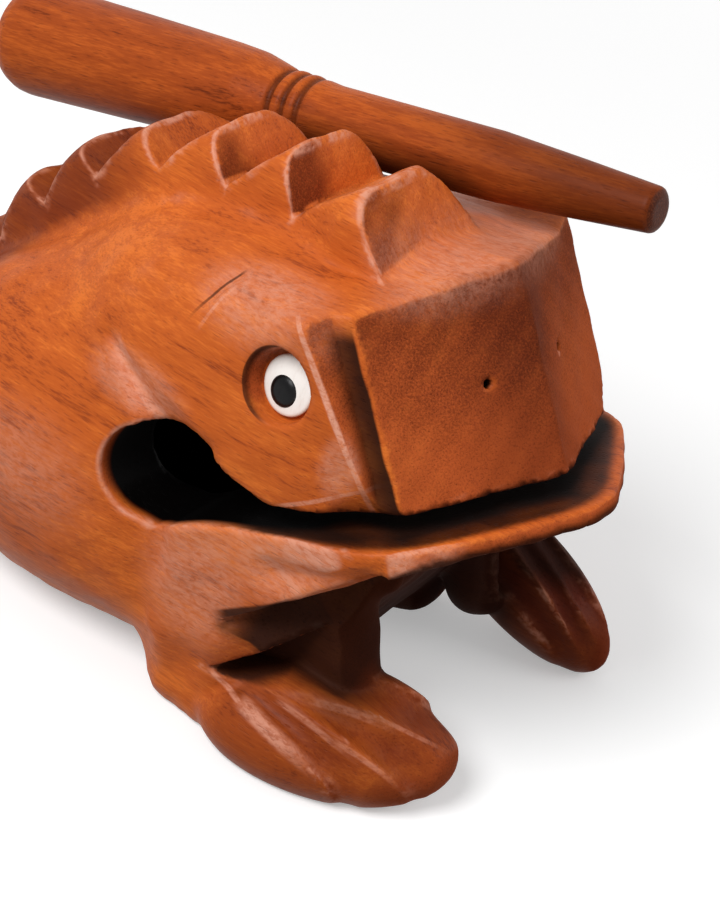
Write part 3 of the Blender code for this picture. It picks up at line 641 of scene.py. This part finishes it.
def stickFigures(points, start, axis, outline):  # darker in the ring grooves and towards the thin end, painted shadow on the side that faces the crest, and the sawn ends
    s = scraperStick
    along, radius = np.repeat(outline[1:-1], s["turns"], 0).T
    along = np.append(along, (outline[0, 0], outline[-1, 0]))
    radius = np.append(radius, (0, 0))
    outward = points - start - along[:, None] * axis
    # Painted shadow on the part of the handle that faces the crest.
    below = outward @ s["shadowSide"] / (np.linalg.norm(outward, axis=1) + 1e-6)
    crestShadow = 1.25 * ramp(below, -0.35, 0.75) * ramp(along, 84, 100) * ramp(along, 168, 138)
    rim = 9.4 - 0.04 * (along - 87)
    inRings = (along > s["rings"][0]) & (along < s["rings"][1])
    # Darker at the bottoms of the ring grooves, and darker towards the thin end.
    groovesAndHandleDarker = np.where(inRings, ramp(radius, rim, rim - 0.6), 0.85 * ramp(along, 112, 167))
    sawn = np.maximum(ramp(along, 2, 0), ramp(along, 188.6, 189.6))
    return {"crevice": np.maximum(crestShadow, groovesAndHandleDarker), "endGrain": sawn}


def stickPlace():  # the middle of the thick end, and the axis from there to the thin end
    s, (y, z), (lean, tilt) = scraperStick, frogBody["crestAxis"], cosSin(scraperStick["lean"])
    end = (s["beside"], y + s["rise"] * tilt + s["behind"] * lean, z + s["rise"] * lean - s["behind"] * tilt)
    return np.array(end), np.array((0, -lean, tilt))


stickEnd, stickAxis = stickPlace()
stickOutline = softOutline(scraperStick["outline"], 0.6, 0.6)
stickPoints, *stickFaces = turnedGrid(stickOutline, stickEnd, stickAxis, scraperStick["turns"])
stickMesh = meshFrom("turnedStick", stickPoints, *stickFaces)
pieceFrom("turnedStick", stickMesh, "stick", "scraper_stick")
addFigures(stickMesh, stickFigures(stickPoints, stickEnd, stickAxis, stickOutline))
print("turned stick:", len(stickMesh.vertices), "vertices")

eyePieces = {
    "whiteRadius": 6.7, "whiteEdge": 1.3, "whiteCrown": 2.1, "whiteChamfer": 0.3, "whiteTurns": 48,
    "pupilRadius": 3.6, "pupilSunk": 0.6, "pupilRise": 1, "pupilTurns": 40,
    "lift": 0.1, "pupilDrop": (0, 0.3, -1.4),
}


def eyePart(name, outline, spacing, seat, axis, turns, sign):  # a turned part, mirrored for the far side
    points, *faceSets = turnedGrid(softOutline(outline, spacing, spacing), seat, axis, turns)
    mesh = meshFrom(name, points * (sign, 1, 1), *[faces[:, ::int(sign)] for faces in faceSets])
    addFigures(mesh, {"rim": np.linalg.norm(np.cross(points - seat, axis), axis=1) / np.max(outline[:, 1])})
    return mesh


def eyePair(side, sign):  # a low white dome on the socket's floor, and a black bead let into it
    e = eyePieces
    out = unit(frogBody["eyeNormal"])
    seat = np.array(frogBody["eye"]) - out * (frogBody["socketDepth"] - e["lift"])
    r = np.linspace(1, 0, 14)
    edge, crown, radius = e["whiteEdge"], e["whiteCrown"], e["whiteRadius"]
    dome = np.stack((edge + (crown - edge) * (1 - r ** 2), radius * r), 1)
    white = np.concatenate(([(0, 0), (0, radius - e["whiteChamfer"]), (e["whiteChamfer"], radius)], dome))
    whiteMesh = eyePart(side + "EyeWhite", white, 0.35, seat, out, e["whiteTurns"], sign)
    pieceFrom(side + "EyeWhite", whiteMesh, "frog", side + "_eye_white")
    base, radius = crown - e["pupilSunk"], e["pupilRadius"]
    bead = np.stack((base + e["pupilSunk"] + e["pupilRise"] * (1 - r ** 2), radius * np.sqrt(r)), 1)
    bead = np.concatenate(([(base, 0), (base, radius)], bead))
    beadMesh = eyePart(side + "Pupil", bead, 0.25, seat + e["pupilDrop"], out, e["pupilTurns"], sign)
    pieceFrom(side + "Pupil", beadMesh, "frog", side + "_pupil")
    return whiteMesh, beadMesh


eyeMeshes = (eyePair("right", 1), eyePair("left", -1))
print("eyes:", sum(len(mesh.vertices) for pair in eyeMeshes for mesh in pair), "vertices")


def linear(colour):  # a colour as it is seen, 0 to 255, to the value a shader takes
    seen = np.array(colour) / 255
    value = np.where(seen <= 0.04045, seen / 12.92, ((seen + 0.055) / 1.055) ** 2.4)
    return (*value.tolist(), 1)


def newMaterial(name):
    material = bpy.data.materials.new(name)
    material.use_nodes = True
    return material, material.node_tree, material.node_tree.nodes["Principled BSDF"]


def setSockets(node, sockets):  # a socket is linked, anything else is set as the value
    for key, value in sockets.items():
        if isinstance(value, bpy.types.NodeSocket):
            node.id_data.links.new(value, node.inputs[key])
        else:
            node.inputs[key].default_value = value


def addNode(near, kind, sockets=None, **settings):  # a node in the tree that near is, or is a socket of
    made = near.id_data.nodes.new("ShaderNode" + kind)
    for key, value in settings.items():
        setattr(made, key, value)
    setSockets(made, sockets or {})
    return made


def calc(operation, first, second=0, third=0, clamp=False):
    return addNode(first, "Math", {0: first, 1: second, 2: third}, operation=operation, use_clamp=clamp).outputs[0]


def product(*values):
    return reduce(lambda first, second: calc("MULTIPLY", first, second), values)


def largest(*values):
    return reduce(lambda first, second: calc("MAXIMUM", first, second), values)


def fade(value, low, high, fromLow=0, fromHigh=1):  # a value carried from low..high to another span, eased
    span = {"Value": value, "From Min": low, "From Max": high, "To Min": fromLow, "To Max": fromHigh}
    return addNode(value, "MapRange", span, interpolation_type="SMOOTHSTEP").outputs[0]


def blendColour(amount, first, second, how="MIX"):
    return addNode(amount, "Mix", {0: amount, 6: first, 7: second}, data_type="RGBA", blend_type=how).outputs[2]


def figureOf(tree, name):
    return addNode(tree, "Attribute", attribute_name=name, attribute_type="GEOMETRY").outputs["Fac"]


def noiseOf(place, scale, detail, roughness=0.55, twist=0):  # noise over millimetres, stretched by scale
    at = addNode(place, "Mapping", {"Vector": place, "Scale": scale}).outputs[0]
    sockets = {"Vector": at, "Scale": 1, "Detail": detail, "Roughness": roughness, "Distortion": twist}
    return addNode(place, "TexNoise", sockets).outputs[0]


def reliefOf(height, strength, distance):
    return addNode(height, "Bump", {"Height": height, "Strength": strength, "Distance": distance}).outputs[0]


def vectorCalc(operation, first, second=(0, 0, 0), result="Vector"):
    return addNode(first, "VectorMath", {0: first, 1: second}, operation=operation).outputs[result]


# Colours: a pale for wear and painted sheen, a stain tone that also serves as painted shade, a dark for dirt and
# painted shade, and a near black for painted shade inside the hollows.
woodLook = {
    "light": (216, 112, 44), "mid": (190, 90, 34), "dark": (142, 60, 24),
    "end": (182, 83, 38), "endDark": (98, 36, 15),
    "paleWearAndSheen": (222, 156, 130), "stainAndShade": (130, 102, 106), "shadeAndGrime": (26, 9, 4), "inside": (2, 1, 1),
    "roughness": 0.44, "specular": 0.1,
}
# The stick's dark colour is for its ring grooves, its thin end and the painted shadow on the side that faces the crest.
stickLook = {
    "light": (188, 90, 34), "mid": (158, 70, 26), "dark": (106, 42, 15),
    "end": (178, 92, 50), "endDark": (96, 40, 18), "shadeAndGrime": (40, 14, 6),
    "roughness": 0.42, "specular": 0.07,
}


def woodGrain(place, look):  # colour, pores and relief of long-grain wood whose fibres run along Y
    fibre = noiseOf(place, (0.42, 0.04, 0.42), 5, 0.62, 0.5)
    fine = noiseOf(place, (2.2, 0.22, 2.2), 3, 0.6)
    blotch = noiseOf(place, (0.045, 0.018, 0.045), 3, 0.5, 0.6)
    poreAt = addNode(place, "Mapping", {"Vector": place, "Scale": (1.35, 0.2, 1.35)}).outputs[0]
    pore = addNode(place, "TexVoronoi", {"Vector": poreAt, "Scale": 1, "Randomness": 1}).outputs["Distance"]
    pore = fade(pore, 0.1, 0.3, 1, 0)
    streak = calc("ADD", product(fibre, 0.55), product(fine, 0.45))
    streak = calc("ADD", streak, product(calc("SUBTRACT", blotch, 0.5), 0.6))
    tones = addNode(streak, "ValToRGB", {"Fac": streak})
    tones.color_ramp.interpolation = "EASE"
    stops = tones.color_ramp.elements
    stops[0].position, stops[1].position = 0.28, 0.68
    stops[0].color, stops[1].color = linear(look["dark"]), linear(look["light"])
    stops.new(0.46).color = linear(look["mid"])
    relief = calc("SUBTRACT", product(fine, 0.5), pore)
    return tones.outputs[0], pore, relief


def placeInMillimetres(tree, turn=0):  # object coordinates, turned about X so that Y follows the fibres
    place = addNode(tree, "TexCoord").outputs["Object"]
    sockets = {"Vector": place, "Rotation": (math.radians(turn), 0, 0), "Scale": (1000, 1000, 1000)}
    return addNode(tree, "Mapping", sockets).outputs[0]


def endGrainOf(place, look):  # short dark flecks on a paler ground, as where fibres are cut across
    speck = noiseOf(place, (2.4, 1.4, 2.4), 3, 0.7)
    drift = noiseOf(place, (0.06, 0.06, 0.06), 3, 0.5)
    tone = calc("ADD", speck, product(calc("SUBTRACT", drift, 0.5), 0.3))
    height = addNode(place, "SeparateXYZ", {0: place}).outputs[2]
    tone = calc("SUBTRACT", tone, fade(height, 82, 118, -0.16, 0.16))
    return blendColour(fade(tone, 0.24, 0.74), linear(look["endDark"]), linear(look["end"]))


def along(place, axis, start):  # how far a place lies past a point, along an axis
    return calc("SUBTRACT", vectorCalc("DOT_PRODUCT", place, tuple(axis), "Value"), float(np.dot(axis, start)))


def cutLine(place, start, end, facing, width):  # 1 on a fine line from start to end, seen along facing
    start, length, run, off, out = lineFrame(start, end, facing)
    near = fade(calc("ABSOLUTE", along(place, off, start)), width * 0.4, width, 1, 0)
    t = along(place, run, start)
    deep = fade(calc("ABSOLUTE", along(place, out, start)), 9, 12, 1, 0)
    return product(near, fade(t, 0, length * 0.15), fade(t, length * 0.5, length, 1, 0), deep)


def foldedPlace(place):  # the place, brought over to the near side
    x, y, z = addNode(place, "SeparateXYZ", {0: place}).outputs
    return addNode(place, "CombineXYZ", {0: product(calc("ABSOLUTE", x), -1), 1: y, 2: z}).outputs[0]


def socketShadow(place):  # painted shadow: a dark line round the back of each eye socket's mouth
    place = foldedPlace(place)
    eye, normal = frogBody["eye"], tuple(unit(frogBody["eyeNormal"]))
    off = vectorCalc("SUBTRACT", place, eye)
    off = vectorCalc("SUBTRACT", off, vectorCalc("PROJECT", off, normal))
    away = vectorCalc("LENGTH", off, result="Value")
    line = product(fade(away, 8.1, 8.5), fade(away, 8.8, 9.1, 1, 0))
    behind = fade(along(place, (0, 1, 0), eye), -1, 4, 0, 0.8)
    return product(line, behind, fade(along(place, normal, eye), -3, -1))


def elbowShade(place):  # painted shade on the cut face between the jaw and the forearm, under the jaw's overhang
    place = foldedPlace(place)
    normal, start = frogBody["armFacet"]
    face = calc("ABSOLUTE", along(place, unit(normal), start))
    behind = along(place, (0, -1, 0), (0, -45, 0))
    height = along(place, (0, 0.675, 0.738), (0, -45, 18.8))  # above the upper side of the cut over the foot
    outer = along(place, (1, 0, 0), (0, 0, 0))
    return product(fade(face, 0.35, 0.9, 1, 0), fade(behind, 0, 1.5), fade(behind, 0, 9, 0.4, 0.95),
                   fade(outer, -33, -28, 1, 0), fade(height, -1.5, 0))


def shadeInCuts(place):  # painted shade and shadow in cuts: beside the facet, on the neck, round the sockets and under the jaw
    b = frogBody
    facet = along(place, unit(b["facetNormal"]), b["snoutTop"])
    roof = along(place, unit(b["roofNormal"]), b["snoutTop"])
    c, s = cosSin(b["mouthPitch"])
    up = along(place, (0, s, c), (0, *b["bore"]))
    x = along(place, (1, 0, 0), (-b["grooveX"] + 0.5, 0, 0))
    groove = product(fade(x, -4.8, 0.6, 0, 0.96), fade(x, 2, 2.6, 1, 0), fade(facet, -5, -3.5),
                     fade(facet, -0.6, -0.1, 1, 0), fade(up, -4, -2), fade(roof, -6, -1, 1, 0))
    nick = cutLine(place, (-33.6, -25.2, 109.4), (-46, -18.7, 97), (-0.75, 0.1, 0.65), 0.5)
    elbow = cutLine(place, (-48, -44, 34.2), (-44, -72, 55.5), (-1, -0.1, 0), 1.5)
    return largest(groove, product(nick, 0.75), product(elbow, 0.9), socketShadow(place), elbowShade(place))


highlightAndWearLines = {  # start, end, facing, width and strength of pale lines on ridges and rims: wear with painted highlights
    "outer toe": ((-47, -54, 16.4), (-48.6, -82, 11), (-0.8, 0, 0.6), 2.4, 0.8),
    "outer toe's root": ((-46, -44, 18.2), (-47.8, -66, 13), (-0.8, 0, 0.6), 0.9, 0.7),
    "second toe": ((-44.6, -62, 20.4), (-42.6, -88, 17.2), (-0.5, 0, 0.86), 0.8, 0.55),
    "second toe's end": ((-43.2, -78, 18.6), (-36, -96, 10.6), (-0.5, -0.3, 0.8), 0.8, 0.5),
    "third toe": ((-41, -68, 22), (-30.6, -90, 22), (-0.3, 0, 0.95), 0.8, 0.5),
    "third toe's end": ((-34, -82, 22.5), (-22, -99, 15.4), (-0.3, -0.4, 0.86), 0.8, 0.45),
    "cheek edge": ((-45.6, -44.5, 115), (-41.4, -79.9, 68), (-0.83, -0.44, 0.22), 0.9, 1),
    "cheek's lower edge": ((-44, -52, 68), (-43, -76, 84.4), (-1, 0, 0), 0.7, 0.6),
    "lip rim": ((-48.4, -54, 62.8), (-49.5, -88, 75), (0, 0.34, 0.94), 1, 0.8),
    "lip's near corner": ((-49.6, -78, 71.6), (-30, -93, 76.9), (0, 0.34, 0.94), 1, 0.7),
    "lip's front": ((-37, -89.2, 75.5), (-14, -103.5, 80.6), (0, 0.34, 0.94), 1, 0.6),
    "flute": ((-48, -0.5, 85.4), (-49, -37, 63), (-0.9, 0, 0.43), 2.8, 0.7),
    "shoulder": ((-47, -49.5, 59), (-47, -73, 48), (-1, 0, 0), 2.4, 0.7),
    "nick": ((-36.5, -27, 107), (-46, -22.4, 96), (-0.75, 0.1, 0.65), 0.7, 0.6),
}


def bodyWood():  # grain, then end grain, pores, wear with painted highlights and sheen, stain with painted shade, dirt with painted shade, and painted shade inside, each laid over the last
    material, tree, shader = newMaterial("carvedWood")
    look = woodLook
    place = placeInMillimetres(tree)
    colour, pore, relief = woodGrain(place, look)
    endGrain = fade(figureOf(tree, "endGrain"), 0.52, 0.8)
    colour = blendColour(product(endGrain, 0.85), colour, endGrainOf(place, look))
    colour = blendColour(product(pore, 0.18), colour, linear(look["endDark"]))
    # Noise that breaks up the pale of wear and painted highlights.
    paleBreakup = noiseOf(place, (0.35, 0.2, 0.35), 3, 0.6)
    mottle = noiseOf(place, (0.9, 0.35, 0.9), 5, 0.7, 0.4)
    paleWearAndSheen = product(fade(figureOf(tree, "wearAndSheen"), 0.18, 0.55), fade(paleBreakup, 0.38, 0.66), 0.7)
    # Painted sheen on broad patches, mottled.
    sheen = product(fade(figureOf(tree, "sheen"), 0, 0.9), fade(mottle, 0.3, 0.66, 0.25, 1), 0.5)
    edgeHighlights = product(fade(figureOf(tree, "edgeHighlights"), 0.3, 0.85), fade(paleBreakup, 0.34, 0.6, 0.3, 0.85))
    # Pale lines on ridges and rims: wear with painted highlights.
    lines = largest(*[product(cutLine(place, *ridge), strength) for *ridge, strength in highlightAndWearLines.values()])
    lines = product(lines, fade(mottle, 0.3, 0.6, 0.35, 1))
    # Wear, painted sheen and painted highlights, laid on as one pale colour.
    wearAndSheen = largest(paleWearAndSheen, sheen, edgeHighlights, lines)
    colour = blendColour(wearAndSheen, colour, linear(look["paleWearAndSheen"]))
    # Stain with painted shade, multiplied into the colour.
    stainAndShade = product(figureOf(tree, "stainAndShade"), calc("MULTIPLY_ADD", wearAndSheen, -0.8, 1))
    colour = blendColour(stainAndShade, colour, linear(look["stainAndShade"]), "MULTIPLY")
    # Dirt and painted shade in creases, painted shade in hollows and under the jaw, then painted shade and shadow in
    # cuts.
    shadeAndGrime = largest(product(fade(figureOf(tree, "crevice"), 0.22, 1), 0.75),
                    product(fade(figureOf(tree, "recess"), 0.4, 1), 0.92),
                    product(figureOf(tree, "under"), 0.92))
    shadeAndGrime = product(shadeAndGrime, fade(figureOf(tree, "socket"), -5, -1.5, 1, 0.12))
    shadeAndGrime = largest(shadeAndGrime, shadeInCuts(place))
    colour = blendColour(shadeAndGrime, colour, linear(look["shadeAndGrime"]))
    # Painted shade: near black deep inside the hollows.
    deep = fade(figureOf(tree, "inside"), 0.9, 4)
    rough = calc("MULTIPLY_ADD", pore, 0.12, look["roughness"])
    rough = calc("ADD", rough, product(endGrain, 0.36))
    setSockets(shader, {
        "Base Color": blendColour(deep, colour, linear(look["inside"])),
        "Roughness": calc("ADD", rough, product(shadeAndGrime, 0.3)),
        "Specular IOR Level": look["specular"], "Normal": reliefOf(relief, 0.35, 0.00025),
    })
    return material


def stickWood():
    material, tree, shader = newMaterial("turnedWood")
    look = stickLook
    place = placeInMillimetres(tree, scraperStick["lean"])
    colour, pore, relief = woodGrain(place, look)
    endGrain = fade(figureOf(tree, "endGrain"), 0.6, 0.9)
    colour = blendColour(endGrain, colour, endGrainOf(place, look))
    colour = blendColour(product(pore, 0.35), colour, linear(look["endDark"]))
    # Darker in the ring grooves and towards the thin end, with painted shadow on the side that faces the crest.
    shadeAndGrime = product(figureOf(tree, "crevice"), 0.7)
    setSockets(shader, {
        "Base Color": blendColour(shadeAndGrime, colour, linear(look["shadeAndGrime"])),
        "Roughness": calc("MULTIPLY_ADD", pore, 0.14, look["roughness"]),
        "Specular IOR Level": look["specular"], "Normal": reliefOf(relief, 0.3, 0.00025),
    })
    return material


paintLook = {  # colour, colour of its rim, where the rim starts as a share of the radius, specular level
    "whitePaint": ((246, 240, 234), (196, 168, 146), 0.86, 0.35),
    "blackPaint": ((9, 8, 9), (40, 36, 36), 0.8, 0.15),
}


def paint(name):  # brushed paint, uneven, discoloured towards its rim
    material, tree, shader = newMaterial(name)
    base, mark, rimFrom, specular = paintLook[name]
    brush = noiseOf(placeInMillimetres(tree), (0.6, 0.9, 0.25), 4, 0.6)
    rim = product(fade(figureOf(tree, "rim"), rimFrom, 1), 0.55)
    amount = calc("ADD", rim, product(fade(brush, 0.5, 0.8), 0.22), clamp=True)
    setSockets(shader, {
        "Base Color": blendColour(amount, linear(base), linear(mark)),
        "Roughness": calc("MULTIPLY_ADD", brush, 0.2, 0.2),
        "Specular IOR Level": specular, "Normal": reliefOf(brush, 0.25, 0.0002),
    })
    return material


bodyMesh.materials.append(bodyWood())
stickMesh.materials.append(stickWood())
for meshes, name in zip(zip(*eyeMeshes), paintLook):
    finish = paint(name)
    for mesh in meshes:
        mesh.materials.append(finish)
print("materials done")

photoView = {"place": (-369.7, -258.5, 336), "back": (-0.7244, -0.4228, 0.5446), "roll": 13.81, "lens": 88}


def viewAxes():  # right, up and back of the camera, with the roll about its own line of sight
    back = Vector(photoView["back"]).normalized()
    right = (-back).cross(Vector((0, 0, 1))).normalized()
    up = right.cross(-back)
    c, s = cosSin(photoView["roll"])
    return c * right + s * up, c * up - s * right, back


cameraData = bpy.data.cameras.new("photoCamera")
cameraData.sensor_fit = "VERTICAL"
cameraData.sensor_height = 36
cameraData.lens = photoView["lens"]
camera = placed("photoCamera", cameraData)
cameraTurn = Matrix(viewAxes()).transposed().to_4x4()
camera.matrix_world = Matrix.Translation(Vector(photoView["place"]) * mm) @ cameraTurn
bpy.context.scene.camera = camera

studio = {
    "keyLamp": ((-0.65, 0.1, 0.75), 0.9, 0.45, 6.6),  # direction, distance, size, power
    "fillLamp": ((0.45, -0.72, 0.53), 1, 0.6, 2.2),
    "aim": (0, -0.02, 0.06),
    "world": 0.4, "floor": 0.8, "floorGlow": (0.34, 0.68), "floorBounce": 0.18,
    "floorSide": 3000, "floorHeight": -0.1,
}


def addLamp(name):  # a soft round lamp that faces the frog
    towards, away, size, power = studio[name]
    data = bpy.data.lights.new(name, "AREA")
    data.shape = "DISK"
    data.size = size
    data.energy = power
    towards = Vector(towards).normalized()
    turn = towards.to_track_quat("Z", "Y").to_matrix().to_4x4()
    placed(name, data).matrix_world = Matrix.Translation(towards * away + Vector(studio["aim"])) @ turn


def seenDirectly(tree):  # 1 for what the camera, a reflection or a clear material looks at
    rays = addNode(tree, "LightPath").outputs
    return largest(*[rays[name] for name in ("Is Camera Ray", "Is Glossy Ray", "Is Transmission Ray")])


def floorLook():  # pale and glowing where it is looked at, and a weak bounce on the frog
    material, tree, shader = newMaterial("paleFloor")
    seen = seenDirectly(tree)
    away = vectorCalc("LENGTH", addNode(tree, "TexCoord").outputs["Object"], result="Value")
    glow = fade(away, 0.25, 1.1, *studio["floorGlow"])
    setSockets(shader, {
        "Base Color": blendColour(seen, (*[studio["floorBounce"]] * 3, 1), (*[studio["floor"]] * 3, 1)),
        "Roughness": 0.9, "Specular IOR Level": 0.1,
        "Emission Color": (1, 1, 1, 1), "Emission Strength": product(seen, glow),
    })
    return material


addLamp("keyLamp")
addLamp("fillLamp")
world = bpy.data.worlds.new("studioWorld")
bpy.context.scene.world = world
world.use_nodes = True
sky = world.node_tree
setSockets(sky.nodes["Background"], {"Color": (1, 1, 1, 1), "Strength": largest(seenDirectly(sky), studio["world"])})

floorCorners = np.array(((-1, -1, 0), (1, -1, 0), (1, 1, 0), (-1, 1, 0))) * studio["floorSide"]
floorMesh = meshFrom("floor", floorCorners + (0, 0, studio["floorHeight"]), np.array(((0, 1, 2, 3),)))
floorMesh.materials.append(floorLook())
floor = placed("floor", floorMesh)
print("camera, lamps and floor done")

bpy.context.scene.view_settings.view_transform = "Standard"
